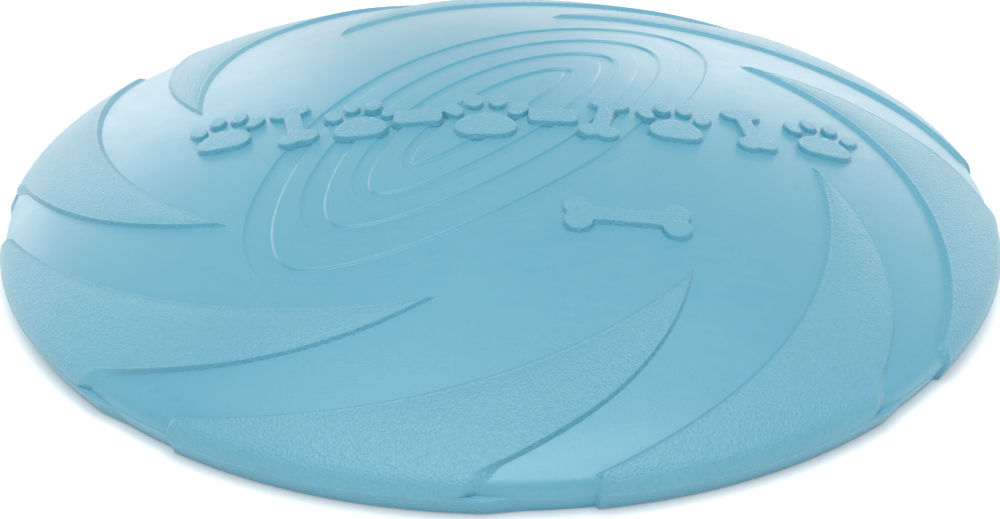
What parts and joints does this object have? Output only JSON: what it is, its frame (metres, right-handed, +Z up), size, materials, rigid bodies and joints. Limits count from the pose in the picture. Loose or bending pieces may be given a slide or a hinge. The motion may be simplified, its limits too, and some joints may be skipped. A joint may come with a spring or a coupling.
{
  "type": "flying disc",
  "caption": "Domed rubber flying disc for a dog, hollow underneath, with a swirl of raised grippy blades, nested oval grooves on top and a row of raised paw and bone shapes.",
  "frame": {"origin": "centre of the ring that the disc rests on, at the bottom of the rim", "axes": "+Z up along the spin axis, out of the top of the dome; the raised row runs along X and reads upright looking along +Y"},
  "size_m": [0.1794, 0.1794, 0.0262],
  "materials": {
    "smooth_rubber": "sky blue moulded rubber, smooth, soft satin sheen",
    "grained_rubber": "the same sky blue rubber, fine leather-like grain, matte"
  },
  "bodies": {
    "root": {"flight_plate": "smooth_rubber", "rim_ring": "smooth_rubber", "oval_ridge_1": "smooth_rubber", "oval_ridge_2": "smooth_rubber", "oval_ridge_3": "smooth_rubber", "oval_ridge_4": "smooth_rubber", "blade_1": "grained_rubber", "blade_2": "grained_rubber", "blade_3": "grained_rubber", "blade_4": "grained_rubber", "blade_5": "grained_rubber", "blade_6": "grained_rubber", "blade_7": "grained_rubber", "blade_8": "grained_rubber", "middle_paw": "grained_rubber", "paw_1": "grained_rubber", "paw_2": "grained_rubber", "paw_3": "grained_rubber", "paw_4": "grained_rubber", "bone_1": "grained_rubber", "bone_2": "grained_rubber", "bone_3": "grained_rubber", "dash_1": "grained_rubber", "dash_2": "grained_rubber", "single_bone": "grained_rubber"}
  },
  "joints": []
}
